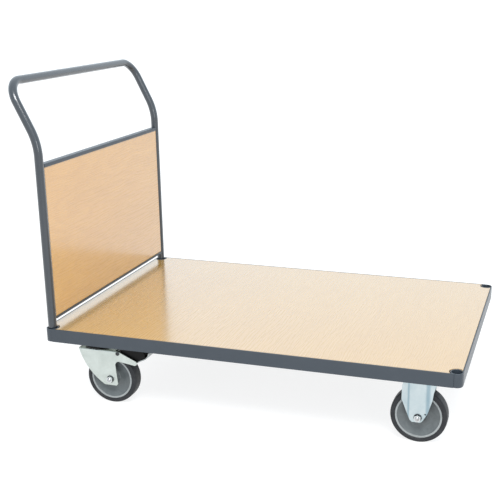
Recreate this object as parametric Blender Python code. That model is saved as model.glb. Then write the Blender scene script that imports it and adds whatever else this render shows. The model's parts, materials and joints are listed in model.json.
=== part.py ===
"""Flatbed platform truck with one plug-in handle frame, built as its separate parts.

Metres, +Z up. +X points away from the handle, and the truck is pushed towards +X, so its left side is +Y.
The origin is on the floor, under the middle of the truck's overall length and width.
"""
import math

import bmesh
import bpy
from mathutils import Matrix, Vector

MM = 0.001
GAP = 0.3 * MM                      # clearance between two pieces that touch

# Platform
DECK_LENGTH = 1240 * MM
DECK_WIDTH = 800 * MM
DECK_TOP = 240 * MM
EDGE_HEIGHT = 40 * MM
BOARD_THICK = 15 * MM
BOARD_MARGIN = 1 * MM               # gap between the board and the rails round it
RAIL_THICK = 3 * MM
LEDGE_WIDTH = 10 * MM
CASTER_BEAM_WIDTH = 130 * MM
CROSS_WIDTH = 50 * MM
CROSS_COUNT = 2

# Corner sockets, cups that take the handle frame's legs
SOCKET_RADIUS = 18 * MM
SOCKET_BORE = 15 * MM
SOCKET_FLOOR = 4 * MM
SOCKET_DRAIN = 4 * MM
SOCKET_RELIEF = 3.5 * MM             # gap between a socket and the board's cut-out
RAIL_END = 6 * MM                   # from a socket's middle to where the rail beside it ends

# Handle frame
TUBE_RADIUS = 12.5 * MM
TUBE_WALL = 2 * MM
KNEE_HEIGHT = 792 * MM              # where the upright and the leaning part of a leg would meet
KNEE_RADIUS = 175 * MM
HANDLE_LEAN = math.radians(26.4)
CROSSBAR_HEIGHT = 959.5 * MM
CORNER_RADIUS = 62 * MM
PANEL_BOTTOM = 264 * MM
PANEL_TOP = 731 * MM
PANEL_THICK = 16 * MM
CHANNEL_THICK = 2 * MM
TOP_CHANNEL_DEPTH = 10.5 * MM
BOTTOM_CHANNEL_DEPTH = 8 * MM

# Casters
WHEEL_RADIUS = 80 * MM
TYRE_WIDTH = 40 * MM
RIM_RADIUS = 65.5 * MM
CASTER_INSET = 75 * MM              # from the truck's side to a caster's middle
SWIVEL_INSET = 132 * MM             # from the handle end to the swivel axes
FIXED_INSET = 122 * MM              # from the front end to the fixed casters' axles
SWIVEL_TRAIL = 51 * MM              # from a swivel axis to its wheel's axle
PLATE_LENGTH = 140 * MM
PLATE_WIDTH = 110 * MM
PLATE_THICK = 4 * MM
BOLT_SPACING_X = 105 * MM
BOLT_SPACING_Y = 80 * MM
BOLT_HOLE = 5.5 * MM
AXLE_RADIUS = 6 * MM
BUSH_RADIUS = 10 * MM
HEX_RADIUS = 10.4 * MM              # across the corners of the axle's head and nut
HEX_THICK = 8 * MM
AXLE_TAIL = 3 * MM                  # how far an axle stands out of its nut

# Swivel fork
FORK_THICK = 4 * MM
FORK_HALF_WIDTH = 29 * MM
FORK_TOP = 172 * MM
FORK_BEND = 5 * MM
RACE_RADIUS = 38 * MM
KINGPIN_RADIUS = 6 * MM
KINGPIN_HEAD = 11 * MM              # radius
KINGPIN_HEAD_THICK = 5 * MM
PEDAL_PIVOT_X = 80 * MM             # from the swivel axis
PEDAL_PIVOT_Z = 165 * MM
PEDAL_PIN_RADIUS = 3 * MM
PEDAL_EYE = 7 * MM                  # radius of the lever's rolled eye
PEDAL_HALF_WIDTH = 22 * MM
PEDAL_THICK = 3 * MM
PEDAL_REACH = 179 * MM              # from the swivel axis to the pedal's tip

# Fixed fork
SIDE_THICK = 3 * MM
SIDE_HALF_WIDTH = 31 * MM
SIDE_FLAT = 27 * MM                 # half the width of a side's flat middle
SIDE_EDGE = 50 * MM
SIDE_TURN = 6 * MM                  # how far a side's edges are turned in
TOOL_HOLE = 2.5 * MM

# Facets
WHEEL_FACETS = 32
SOCKET_FACETS = 24
TUBE_FACETS = 16
SMALL_FACETS = 12
HOLE_FACETS = 8
SMOOTH_ANGLE = math.radians(35)

# Worked out from the sizes above
CROSSBAR_BACK = (CROSSBAR_HEIGHT - KNEE_HEIGHT) * math.tan(HANDLE_LEAN)
OVERHANG = CROSSBAR_BACK + TUBE_RADIUS - SOCKET_RADIUS
FRONT_X = (DECK_LENGTH + OVERHANG) / 2
HANDLE_X = FRONT_X - DECK_LENGTH
SIDE_Y = DECK_WIDTH / 2
FRAME_BOTTOM = DECK_TOP - EDGE_HEIGHT
BOARD_BOTTOM = DECK_TOP - BOARD_THICK
LEDGE_BOTTOM = BOARD_BOTTOM - RAIL_THICK
SOCKET_X = {"handle": HANDLE_X + SOCKET_RADIUS, "front": FRONT_X - SOCKET_RADIUS}
SOCKET_Y = SIDE_Y - SOCKET_RADIUS
PLATE_TOP = FRAME_BOTTOM - GAP
PLATE_BOTTOM = PLATE_TOP - PLATE_THICK
SWIVEL_X = HANDLE_X + SWIVEL_INSET
FIXED_X = FRONT_X - FIXED_INSET
CASTER_Y = SIDE_Y - CASTER_INSET
SIDES = {"right": -1, "left": 1}


def make_material(name, colour, roughness, metallic=0.0):
    """Principled material of one colour."""
    material = bpy.data.materials.new(name)
    material.use_nodes = True
    shader = material.node_tree.nodes["Principled BSDF"]
    shader.inputs["Base Color"].default_value = (*colour, 1.0)
    shader.inputs["Roughness"].default_value = roughness
    shader.inputs["Metallic"].default_value = metallic
    material.diffuse_color = (*colour, 1.0)
    return material


MATERIAL_SPECS = {
    "painted_steel": ((0.075, 0.092, 0.11), 0.38, 0.0),
    "deck_wood": ((0.80, 0.62, 0.42), 0.30, 0.0),
    "panel_wood": ((0.76, 0.53, 0.30), 0.35, 0.0),
    "zinc_steel": ((0.78, 0.80, 0.80), 0.32, 1.0),
    "grey_rim": ((0.22, 0.24, 0.25), 0.45, 0.0),
    "grey_tyre": ((0.045, 0.047, 0.052), 0.65, 0.0),
    "black_plastic": ((0.02, 0.02, 0.02), 0.45, 0.0),
    "steel": ((0.45, 0.46, 0.47), 0.35, 1.0),
}


def arc(centre, radius, start, end, steps):
    """Points of a circular arc between two angles in degrees, both ends among them."""
    angles = [math.radians(start + (end - start) * step / steps) for step in range(steps + 1)]
    return [(centre[0] + radius * math.cos(a), centre[1] + radius * math.sin(a)) for a in angles]


def above(path, depth):
    """An open path of points that runs to the right, moved up by a depth square to it."""
    result = []
    for i, (x, z) in enumerate(path):
        start, end = path[max(i - 1, 0)], path[min(i + 1, len(path) - 1)]
        along = Vector((end[0] - start[0], end[1] - start[1])).normalized()
        result.append((x - along.y * depth, z + along.x * depth))
    return result


def mesh_from(bm, name):
    """Mesh with its faces pointing out, smooth except along its real edges."""
    bmesh.ops.recalc_face_normals(bm, faces=bm.faces)
    mesh = bpy.data.meshes.new(name)
    bm.to_mesh(mesh)
    bm.free()
    mesh.shade_smooth()
    mesh.set_sharp_from_angle(angle=SMOOTH_ANGLE)
    return mesh


def prism(outline, low, high, axis):
    """Solid with a closed outline of 2-D points, extruded along X, Y or Z from low to high."""
    place = {
        "X": lambda u, v, w: (w, u, v),
        "Y": lambda u, v, w: (u, w, v),
        "Z": lambda u, v, w: (u, v, w),
    }[axis]
    bm = bmesh.new()
    loops = [[bm.verts.new(place(u, v, level)) for u, v in outline] for level in (low, high)]
    for loop in loops:
        bm.faces.new(loop)
    count = len(outline)
    for i in range(count):
        after = (i + 1) % count
        bm.faces.new((loops[0][i], loops[0][after], loops[1][after], loops[1][i]))
    return mesh_from(bm, "prism")


def rectangle(low, high):
    """Outline of the rectangle between two opposite corners."""
    return [(low[0], low[1]), (high[0], low[1]), (high[0], high[1]), (low[0], high[1])]


def block(low, high):
    """Box between two opposite corners."""
    return prism(rectangle(low[:2], high[:2]), low[2], high[2], "Z")


def turned(profile, axis, facets, ring=False):
    """Solid turned about an axis through the origin, from (radius, place along the axis) points.

    A ring's profile closes on itself and stays off the axis; any other solid is capped at both ends.
    """
    place = {
        "Y": lambda r, h, a: (r * math.cos(a), h, r * math.sin(a)),
        "Z": lambda r, h, a: (r * math.cos(a), r * math.sin(a), h),
    }[axis]
    bm = bmesh.new()
    angles = [2 * math.pi * i / facets for i in range(facets)]
    loops = [[bm.verts.new(place(r, h, a)) for a in angles] for r, h in profile]
    if ring:
        pairs = zip(loops, loops[1:] + loops[:1])
    else:
        pairs = zip(loops, loops[1:])
        bm.faces.new(loops[0])
        bm.faces.new(loops[-1])
    for near, far in pairs:
        for i in range(facets):
            after = (i + 1) % facets
            bm.faces.new((near[i], near[after], far[after], far[i]))
    return mesh_from(bm, "turned")


def swept_tube(path, outer, inner, facets):
    """Hollow tube, open at both ends, along a path of points that starts straight up."""
    points = [Vector(point) for point in path]
    tangents = [(points[min(i + 1, len(points) - 1)] - points[max(i - 1, 0)]).normalized()
                for i in range(len(points))]
    across = Vector((1, 0, 0))
    bm = bmesh.new()
    walls = {outer: [], inner: []}
    for i, (point, tangent) in enumerate(zip(points, tangents)):
        if i:
            across = tangents[i - 1].rotation_difference(tangent) @ across
        other = tangent.cross(across)
        for radius, loops in walls.items():
            angles = [2 * math.pi * k / facets for k in range(facets)]
            loops.append([bm.verts.new(point + radius * (math.cos(a) * across + math.sin(a) * other))
                          for a in angles])
    rings = walls[outer] + walls[inner][::-1]
    for near, far in zip(rings, rings[1:] + rings[:1]):
        for i in range(facets):
            after = (i + 1) % facets
            bm.faces.new((near[i], near[after], far[after], far[i]))
    return mesh_from(bm, "tube")


def moved(mesh, offset):
    """The same mesh, shifted."""
    mesh.transform(Matrix.Translation(Vector(offset)))
    return mesh


def boolean(base, tool, operation="DIFFERENCE"):
    """Mesh left when the tool is cut from, joined to or intersected with the base."""
    objects = [bpy.data.objects.new(name, mesh) for name, mesh in (("base", base), ("tool", tool))]
    for obj in objects:
        bpy.context.scene.collection.objects.link(obj)
    modifier = objects[0].modifiers.new("boolean", "BOOLEAN")
    modifier.operation = operation
    modifier.object = objects[1]
    bpy.context.view_layer.update()
    evaluated = objects[0].evaluated_get(bpy.context.evaluated_depsgraph_get())
    result = bpy.data.meshes.new_from_object(evaluated)
    for obj in objects:
        bpy.data.objects.remove(obj, do_unlink=True)
    result.set_sharp_from_angle(angle=SMOOTH_ANGLE)
    return result


def cylinder(radius, low, high, axis, centre=(0, 0, 0), facets=SMALL_FACETS):
    """Round bar along an axis between two places on it."""
    return moved(turned([(radius, low), (radius, high)], axis, facets), centre)


def add_part(name, mesh, material, parent=None, location=(0, 0, 0)):
    """Object for one piece, in the scene and under its parent."""
    mesh.name = name
    mesh.materials.clear()
    mesh.materials.append(bpy.data.materials[material])
    part = bpy.data.objects.new(name, mesh)
    part.location = location
    part.parent = parent
    bpy.context.scene.collection.objects.link(part)
    return part


def add_axis(name, location, parent=None):
    """Empty on a joint's axis, which carries the pieces that move together."""
    empty = bpy.data.objects.new(name, None)
    empty.location = location
    empty.parent = parent
    empty.empty_display_size = 0.05
    bpy.context.scene.collection.objects.link(empty)
    return empty


def socket_columns(radius):
    """Round bars through the four corner sockets, to cut the pieces that meet them."""
    return [cylinder(radius, FRAME_BOTTOM - MM, DECK_TOP + MM, "Z", (x, side * SOCKET_Y, 0), SOCKET_FACETS)
            for x in SOCKET_X.values() for side in SIDES.values()]


def clear_of_sockets(mesh, radius):
    """The mesh with the four sockets' room cut out of it."""
    for column in socket_columns(radius):
        mesh = boolean(mesh, column)
    return mesh


def rail_profile(side):
    """Section of an edge rail with its web outside and a ledge under the board, in mirrored pairs."""
    inner = RAIL_THICK + LEDGE_WIDTH
    points = [(0, FRAME_BOTTOM), (RAIL_THICK, FRAME_BOTTOM), (RAIL_THICK, LEDGE_BOTTOM),
              (inner, LEDGE_BOTTOM), (inner, BOARD_BOTTOM - GAP), (RAIL_THICK, BOARD_BOTTOM - GAP),
              (RAIL_THICK, DECK_TOP), (0, DECK_TOP)]
    return [(side * -depth, height) for depth, height in points]


def build_rails():
    """Side rails along X and end rails along Y, each cut to meet the corner sockets."""
    for name, side in SIDES.items():
        outline = [(side * SIDE_Y + y, z) for y, z in rail_profile(side)]
        rail = prism(outline, SOCKET_X["handle"] + RAIL_END, SOCKET_X["front"] - RAIL_END, "X")
        add_part(f"side_rail_{name}", clear_of_sockets(rail, SOCKET_RADIUS + GAP), "painted_steel")
    ledge_end = SIDE_Y - RAIL_THICK - LEDGE_WIDTH - GAP
    for name, end_x, side in (("handle_end_rail", HANDLE_X, -1), ("front_end_rail", FRONT_X, 1)):
        outline = [(end_x + x, z) for x, z in rail_profile(side)]
        rail = prism(outline, RAIL_END - SOCKET_Y, SOCKET_Y - RAIL_END, "Y")
        inner = end_x - side * (RAIL_THICK + GAP)
        far = end_x - side * (RAIL_THICK + LEDGE_WIDTH + MM)
        for sign in SIDES.values():
            low = (min(inner, far), min(sign * ledge_end, sign * SIDE_Y), LEDGE_BOTTOM - MM)
            high = (max(inner, far), max(sign * ledge_end, sign * SIDE_Y), BOARD_BOTTOM + MM)
            rail = boolean(rail, block(low, high))
        add_part(name, clear_of_sockets(rail, SOCKET_RADIUS + GAP), "painted_steel")


def build_sockets():
    """Four round cups with a drain hole in the floor."""
    profile = [(SOCKET_DRAIN, FRAME_BOTTOM), (SOCKET_RADIUS, FRAME_BOTTOM), (SOCKET_RADIUS, DECK_TOP),
               (SOCKET_BORE, DECK_TOP), (SOCKET_BORE, FRAME_BOTTOM + SOCKET_FLOOR),
               (SOCKET_DRAIN, FRAME_BOTTOM + SOCKET_FLOOR)]
    for end, x in SOCKET_X.items():
        for name, side in SIDES.items():
            cup = turned(profile, "Z", SOCKET_FACETS, ring=True)
            add_part(f"{end}_socket_{name}", cup, "painted_steel", location=(x, side * SOCKET_Y, 0))


def build_board():
    """Deck board, flush with the rails and cut out round the sockets."""
    margin = RAIL_THICK + BOARD_MARGIN
    board = block((HANDLE_X + margin, margin - SIDE_Y, BOARD_BOTTOM),
                  (FRONT_X - margin, SIDE_Y - margin, DECK_TOP))
    add_part("deck_board", clear_of_sockets(board, SOCKET_RADIUS + SOCKET_RELIEF), "deck_wood")


def channel_outline(width, low, high, thick):
    """Section of a channel that opens upwards."""
    half = width / 2
    return [(-half, low), (half, low), (half, high), (half - thick, high), (half - thick, low + thick),
            (thick - half, low + thick), (thick - half, high), (-half, high)]


def plate_block():
    """A caster's bolted plate before it is drilled."""
    half = (PLATE_LENGTH / 2, PLATE_WIDTH / 2)
    return block((-half[0], -half[1], PLATE_BOTTOM), (*half, PLATE_TOP))


def build_cross_members():
    """Channels under the board, from rail to rail: one at each pair of casters and two between."""
    reach = SIDE_Y - RAIL_THICK - GAP
    top = LEDGE_BOTTOM - GAP
    spacing = (FIXED_X - SWIVEL_X) / (CROSS_COUNT + 1)
    members = {
        "swivel_caster_beam": (SWIVEL_X, CASTER_BEAM_WIDTH),
        "fixed_caster_beam": (FIXED_X, CASTER_BEAM_WIDTH),
    }
    for i in range(CROSS_COUNT):
        members[f"cross_member_{i + 1}"] = (SWIVEL_X + spacing * (i + 1), CROSS_WIDTH)
    for name, (x, width) in members.items():
        beam = prism(channel_outline(width, FRAME_BOTTOM, top, RAIL_THICK), -reach, reach, "Y")
        if name.endswith("caster_beam"):
            for side in SIDES.values():
                beam = with_bolt_holes(beam, side * CASTER_Y, FRAME_BOTTOM)
        add_part(name, beam, "painted_steel", location=(x, 0, 0))


def with_bolt_holes(mesh, middle_y, level):
    """The mesh with a caster's four bolt holes drilled through it."""
    for x in (-BOLT_SPACING_X / 2, BOLT_SPACING_X / 2):
        for y in (-BOLT_SPACING_Y / 2, BOLT_SPACING_Y / 2):
            drill = cylinder(BOLT_HOLE, level - 2 * PLATE_THICK, level + 2 * PLATE_THICK, "Z",
                             (x, middle_y + y, 0), HOLE_FACETS)
            mesh = boolean(mesh, drill)
    return mesh


def handle_path():
    """Middle line of the handle's tube: up one leg, across the top and down the other."""
    leg_x = SOCKET_X["handle"]
    lean = Vector((-math.sin(HANDLE_LEAN), 0, math.cos(HANDLE_LEAN)))
    knee_reach = KNEE_RADIUS * math.tan(HANDLE_LEAN / 2)
    knee_start = KNEE_HEIGHT - knee_reach
    leg = [Vector((leg_x, -SOCKET_Y, FRAME_BOTTOM + SOCKET_FLOOR + GAP))]
    for x, z in arc((leg_x - KNEE_RADIUS, knee_start), KNEE_RADIUS, 0, math.degrees(HANDLE_LEAN), 7):
        leg.append(Vector((x, -SOCKET_Y, z)))
    corner = Vector((leg_x - CROSSBAR_BACK, -SOCKET_Y, CROSSBAR_HEIGHT))
    for along, up in arc((CORNER_RADIUS, -CORNER_RADIUS), CORNER_RADIUS, 180, 90, 9):
        leg.append(corner + lean * up + Vector((0, along, 0)))
    other_leg = [Vector((point.x, -point.y, point.z)) for point in reversed(leg)]
    return leg + other_leg


def build_handle():
    """Handle frame that lifts out of its sockets: bent tube, board and the channels that hold the board."""
    frame = add_axis("handle_frame", (SOCKET_X["handle"], 0, FRAME_BOTTOM))
    offset = -frame.location
    tube = swept_tube(handle_path(), TUBE_RADIUS, TUBE_RADIUS - TUBE_WALL, TUBE_FACETS)
    add_part("handle_tube", moved(tube, offset), "painted_steel", frame)

    half_width = SOCKET_Y - TUBE_RADIUS - GAP
    channel_width = PANEL_THICK + 2 * (GAP + CHANNEL_THICK)
    top = channel_outline(channel_width, -PANEL_TOP, TOP_CHANNEL_DEPTH - PANEL_TOP, CHANNEL_THICK)
    channels = {
        "panel_bottom_channel": channel_outline(channel_width, PANEL_BOTTOM,
                                                PANEL_BOTTOM + BOTTOM_CHANNEL_DEPTH, CHANNEL_THICK),
        "panel_top_channel": [(x, -z) for x, z in top],
    }
    for name, outline in channels.items():
        channel = prism(outline, -half_width, half_width, "Y")
        add_part(name, moved(channel, (0, 0, -FRAME_BOTTOM)), "painted_steel", frame)
    edge = CHANNEL_THICK + GAP
    board = block((-PANEL_THICK / 2, -half_width, PANEL_BOTTOM + edge),
                  (PANEL_THICK / 2, half_width, PANEL_TOP - edge))
    add_part("panel_board", moved(board, (0, 0, -FRAME_BOTTOM)), "panel_wood", frame)


def rim_mesh():
    """Wheel body: hub, dished disc and the ring that carries the tyre."""
    half = [(BUSH_RADIUS + GAP, 21 * MM), (19 * MM, 21 * MM), (23 * MM, 7 * MM), (38 * MM, 8 * MM),
            (60 * MM, 18 * MM), (RIM_RADIUS, 19 * MM)]
    return turned(half + [(r, -y) for r, y in reversed(half)], "Y", WHEEL_FACETS, ring=True)


def tyre_mesh():
    """Tyre with rounded shoulders, on the rim."""
    bore = RIM_RADIUS + GAP
    half_width = TYRE_WIDTH / 2
    half = [(bore, half_width - MM), (74 * MM, half_width), (78.5 * MM, 17 * MM), (WHEEL_RADIUS, 11 * MM)]
    return turned(half + [(r, -y) for r, y in reversed(half)], "Y", WHEEL_FACETS, ring=True)


def hex_outline(radius):
    """Hexagon with a corner up."""
    return [(radius * math.sin(math.pi * i / 3), radius * math.cos(math.pi * i / 3)) for i in range(6)]


def build_wheel(name, side, inner_half, outer_half, fork_parent, axle):
    """Wheel on its axle. The head is on the truck's inner side and the nut is outside."""
    bush = turned([(AXLE_RADIUS + GAP, GAP - inner_half), (BUSH_RADIUS, GAP - inner_half),
                   (BUSH_RADIUS, inner_half - GAP), (AXLE_RADIUS + GAP, inner_half - GAP)],
                  "Y", SMALL_FACETS, ring=True)
    add_part(f"{name}_axle_bush", bush, "steel", fork_parent, axle)

    seat = outer_half + GAP
    end = side * (seat + HEX_THICK + AXLE_TAIL)
    shaft = cylinder(AXLE_RADIUS, min(-side * (seat + MM), end), max(-side * (seat + MM), end), "Y")
    head = prism(hex_outline(HEX_RADIUS), min(-side * seat, -side * (seat + HEX_THICK)),
                 max(-side * seat, -side * (seat + HEX_THICK)), "Y")
    add_part(f"{name}_axle_bolt", boolean(shaft, head, "UNION"), "steel", fork_parent, axle)

    nut = prism(hex_outline(HEX_RADIUS), min(side * seat, side * (seat + HEX_THICK)),
                max(side * seat, side * (seat + HEX_THICK)), "Y")
    nut = boolean(nut, cylinder(AXLE_RADIUS + GAP, -WHEEL_RADIUS, WHEEL_RADIUS, "Y"))
    add_part(f"{name}_axle_nut", nut, "zinc_steel", fork_parent, axle)

    wheel = add_axis(f"{name}_wheel_axis", axle, fork_parent)
    add_part(f"{name}_rim", rim_mesh(), "grey_rim", wheel)
    add_part(f"{name}_tyre", tyre_mesh(), "grey_tyre", wheel)


def swivel_fork_outline():
    """Side view of a swivel fork: a leg down to the axle and a horn back to the brake pedal."""
    front = [(x * MM, z * MM) for x, z in arc((130.2, 217.3), 184.1, 194.3, 236.5, 7)]
    foot = [(x * MM, z * MM) for x, z in ((33, 61), (70, 61), (76, 67), (70.5, 126))]
    notch = [(x * MM, z * MM) for x, z in arc((83.5, 127), 13, 180, 85, 4)]
    horn = [(x * MM, z * MM) for x, z in arc((134, 140), 7.5, -105, 62, 5)]
    return front + foot + notch + horn + [(PEDAL_PIVOT_X, FORK_TOP), (front[0][0], FORK_TOP)]


def swivel_fork_mesh():
    """Pressed fork: an arch over the wheel, cut to the side view, open above the pedal, with its holes."""
    half = FORK_HALF_WIDTH
    inner = half - FORK_THICK
    ceiling = FORK_TOP - FORK_THICK
    bend = [(half - FORK_BEND + u, FORK_TOP - FORK_BEND + v)
            for u, v in arc((0, 0), FORK_BEND, 0, 90, 4)]
    arch = [(half, 0)] + bend + [(-y, z) for y, z in reversed(bend)]
    arch += [(-half, 0), (-inner, 0), (-inner, ceiling), (inner, ceiling), (inner, 0)]
    fork = prism(arch, -WHEEL_RADIUS, PEDAL_REACH, "X")
    fork = boolean(fork, prism(swivel_fork_outline(), -PLATE_WIDTH, PLATE_WIDTH, "Y"), "INTERSECT")
    fork = boolean(fork, block((PEDAL_PIVOT_X - PEDAL_EYE - MM, -inner, ceiling - FORK_THICK),
                               (PEDAL_REACH, inner, FORK_TOP + MM)))
    fork = boolean(fork, cylinder(KINGPIN_RADIUS + GAP, ceiling - MM, FORK_TOP + MM, "Z"))
    fork = boolean(fork, cylinder(AXLE_RADIUS + GAP, -PLATE_WIDTH, PLATE_WIDTH, "Y",
                                  (SWIVEL_TRAIL, 0, WHEEL_RADIUS)))
    return boolean(fork, cylinder(PEDAL_PIN_RADIUS + GAP, -PLATE_WIDTH, PLATE_WIDTH, "Y",
                                  (PEDAL_PIVOT_X, 0, PEDAL_PIVOT_Z)))


def build_pedal(name, fork_axis):
    """Foot brake: a pin through the fork's horns, a steel lever and a black cover on it."""
    pivot = (PEDAL_PIVOT_X, 0, PEDAL_PIVOT_Z)
    axis = add_axis(f"{name}_pedal_axis", pivot, fork_axis)
    pin_end = FORK_HALF_WIDTH + 2 * GAP
    pin = turned([(PEDAL_PIN_RADIUS, 2 * MM - pin_end), (PEDAL_PIN_RADIUS, pin_end),
                  (2 * PEDAL_PIN_RADIUS, pin_end), (2 * PEDAL_PIN_RADIUS, pin_end + 2 * MM)],
                 "Y", SMALL_FACETS)
    if name.endswith("right"):
        pin.transform(Matrix.Rotation(math.pi, 4, "Z"))
    add_part(f"{name}_pedal_pin", pin, "zinc_steel", fork_axis, pivot)

    tip = PEDAL_REACH - PEDAL_PIVOT_X
    under = [(8 * MM, -8 * MM), (30 * MM, -13 * MM), (54 * MM, -25 * MM), (60 * MM, -26 * MM),
             (88 * MM, -12 * MM), (tip - 2 * MM, -3 * MM), (tip, 7 * MM)]
    eye = arc((0, 0), PEDAL_EYE, 45, 290, 10)
    lever = prism(eye + under + above(under, PEDAL_THICK)[::-1], -PEDAL_HALF_WIDTH, PEDAL_HALF_WIDTH, "Y")
    lever = boolean(lever, cylinder(PEDAL_PIN_RADIUS + GAP, -PLATE_WIDTH, PLATE_WIDTH, "Y"))
    add_part(f"{name}_brake_lever", lever, "zinc_steel", axis)

    cover = above(under, PEDAL_THICK + GAP)[:5]
    cover += [(84 * MM, 4 * MM), (77 * MM, 12 * MM), (54 * MM, 15 * MM), (20 * MM, 14 * MM),
              (10 * MM, 8 * MM)]
    pad = prism(cover, 1.5 * MM - PEDAL_HALF_WIDTH, PEDAL_HALF_WIDTH - 1.5 * MM, "Y")
    add_part(f"{name}_pedal_cover", pad, "black_plastic", axis)


def build_swivel_caster(side_name):
    """Swivel caster with a foot brake, its wheel trailing towards +X."""
    side = SIDES[side_name]
    name = f"swivel_{side_name}"
    middle = (SWIVEL_X, side * CASTER_Y, 0)
    plate = with_bolt_holes(plate_block(), 0, PLATE_BOTTOM)
    plate = boolean(plate, cylinder(KINGPIN_RADIUS + GAP, PLATE_BOTTOM - MM, PLATE_TOP + MM, "Z"))
    add_part(f"{name}_top_plate", plate, "zinc_steel", location=middle)

    race_top = PLATE_BOTTOM - GAP
    race_split = (race_top + FORK_TOP) / 2
    bore = KINGPIN_RADIUS + GAP
    upper = [(bore, race_split + GAP), (RACE_RADIUS - 3 * MM, race_split + GAP),
             (RACE_RADIUS, race_top - 2 * MM), (RACE_RADIUS, race_top), (bore, race_top)]
    race = turned(upper, "Z", SOCKET_FACETS, ring=True)
    add_part(f"{name}_upper_race", race, "zinc_steel", location=middle)
    seat = FORK_TOP - FORK_THICK - GAP
    pin = turned([(KINGPIN_HEAD, seat - KINGPIN_HEAD_THICK), (KINGPIN_HEAD, seat), (KINGPIN_RADIUS, seat),
                  (KINGPIN_RADIUS, PLATE_TOP - MM)], "Z", SMALL_FACETS)
    add_part(f"{name}_kingpin", pin, "steel", location=middle)

    axis = add_axis(f"{name}_axis", middle)
    lower = [(bore, FORK_TOP + GAP), (FORK_HALF_WIDTH, FORK_TOP + GAP), (RACE_RADIUS - MM, FORK_TOP + 4 * MM),
             (RACE_RADIUS - 3 * MM, race_split - GAP), (bore, race_split - GAP)]
    add_part(f"{name}_lower_race", turned(lower, "Z", SOCKET_FACETS, ring=True), "black_plastic", axis)
    add_part(f"{name}_fork", swivel_fork_mesh(), "zinc_steel", axis)
    build_pedal(name, axis)
    axle = (SWIVEL_TRAIL, 0, WHEEL_RADIUS)
    build_wheel(name, side, FORK_HALF_WIDTH - FORK_THICK, FORK_HALF_WIDTH, axis, axle)


def fixed_side_outline():
    """Side view of a fixed fork, from its axle: flared at the front, straight behind, with a flat foot."""
    front = [(48.5, 180), (41, 155), (39, 136), (26.5, 94), (12, 69.5)]
    foot = [(7, 66), (-16, 66), (-22, 71)]
    back = [(-47.5, 129), (-47, 168), (-42, 188)]
    sides = [(x * MM, z * MM) for x, z in front + foot + back]
    return [(SIDE_EDGE, PLATE_TOP)] + sides + [(sides[-1][0], PLATE_TOP)]


def fixed_fork_mesh():
    """Pressed fork: a bolted plate with two sides, whose edges turn in towards the wheel."""
    half = SIDE_HALF_WIDTH
    edge = half - SIDE_TURN
    section = [(SIDE_EDGE, edge), (SIDE_FLAT, half), (-SIDE_FLAT, half), (-SIDE_EDGE, edge)]
    section += [(x, y - SIDE_THICK) for x, y in reversed(section)]
    view = prism(fixed_side_outline(), -PLATE_WIDTH, PLATE_WIDTH, "Y")
    fork = plate_block()
    for sign in SIDES.values():
        outline = [(x, sign * y) for x, y in section]
        wall = boolean(prism(outline, 0, PLATE_TOP - MM, "Z"), view, "INTERSECT")
        fork = boolean(fork, wall, "UNION")
    fork = boolean(fork, cylinder(AXLE_RADIUS + GAP, -PLATE_WIDTH, PLATE_WIDTH, "Y", (0, 0, WHEEL_RADIUS)))
    fork = boolean(fork, cylinder(TOOL_HOLE, -PLATE_WIDTH, PLATE_WIDTH, "Y", (20.5 * MM, 0, 92 * MM)))
    return with_bolt_holes(fork, 0, PLATE_BOTTOM)


def build_fixed_caster(side_name):
    """Fixed caster at the front end."""
    side = SIDES[side_name]
    name = f"fixed_{side_name}"
    mount = add_axis(f"{name}_mount", (FIXED_X, side * CASTER_Y, 0))
    add_part(f"{name}_fork", fixed_fork_mesh(), "zinc_steel", mount)
    build_wheel(name, side, SIDE_HALF_WIDTH - SIDE_THICK, SIDE_HALF_WIDTH, mount, (0, 0, WHEEL_RADIUS))


def main():
    """Build every part in an empty scene."""
    for obj in list(bpy.data.objects):
        bpy.data.objects.remove(obj, do_unlink=True)
    for name, (colour, roughness, metallic) in MATERIAL_SPECS.items():
        make_material(name, colour, roughness, metallic)
    build_rails()
    build_sockets()
    build_board()
    build_cross_members()
    build_handle()
    for side_name in SIDES:
        build_swivel_caster(side_name)
        build_fixed_caster(side_name)


main()
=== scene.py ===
"""Looks of a flatbed platform truck with one plug-in handle frame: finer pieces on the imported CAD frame,
their materials, the camera and the studio.

Metres, +Z up. +X points away from the handle. "right" is the side at -Y, nearest the camera.
"""
import json
import math

import bmesh
import bpy
from mathutils import Matrix, Vector


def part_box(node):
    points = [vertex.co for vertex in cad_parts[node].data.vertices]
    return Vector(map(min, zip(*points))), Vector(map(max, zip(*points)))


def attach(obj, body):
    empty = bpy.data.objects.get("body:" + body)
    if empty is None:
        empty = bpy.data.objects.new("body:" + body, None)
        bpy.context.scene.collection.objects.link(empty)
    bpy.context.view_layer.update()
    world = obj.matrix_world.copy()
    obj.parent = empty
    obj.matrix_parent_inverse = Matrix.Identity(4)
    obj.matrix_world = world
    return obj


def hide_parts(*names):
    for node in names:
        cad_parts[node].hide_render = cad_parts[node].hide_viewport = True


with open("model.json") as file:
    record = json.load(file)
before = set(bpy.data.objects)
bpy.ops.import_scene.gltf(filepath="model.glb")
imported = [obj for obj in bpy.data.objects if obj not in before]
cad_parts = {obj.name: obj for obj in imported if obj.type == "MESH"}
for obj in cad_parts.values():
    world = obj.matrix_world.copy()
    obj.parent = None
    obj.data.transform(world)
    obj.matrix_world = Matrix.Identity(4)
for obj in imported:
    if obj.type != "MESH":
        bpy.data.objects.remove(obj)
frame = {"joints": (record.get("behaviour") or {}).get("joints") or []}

MM = 0.001

# Gaps between pieces, and widths of rounded-off edges
GAP = 0.3 * MM
FINE_EDGE = 0.3 * MM
EDGE = 0.5 * MM
SOFT_EDGE = 0.6 * MM
ROUND_EDGE = 0.7 * MM

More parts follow.
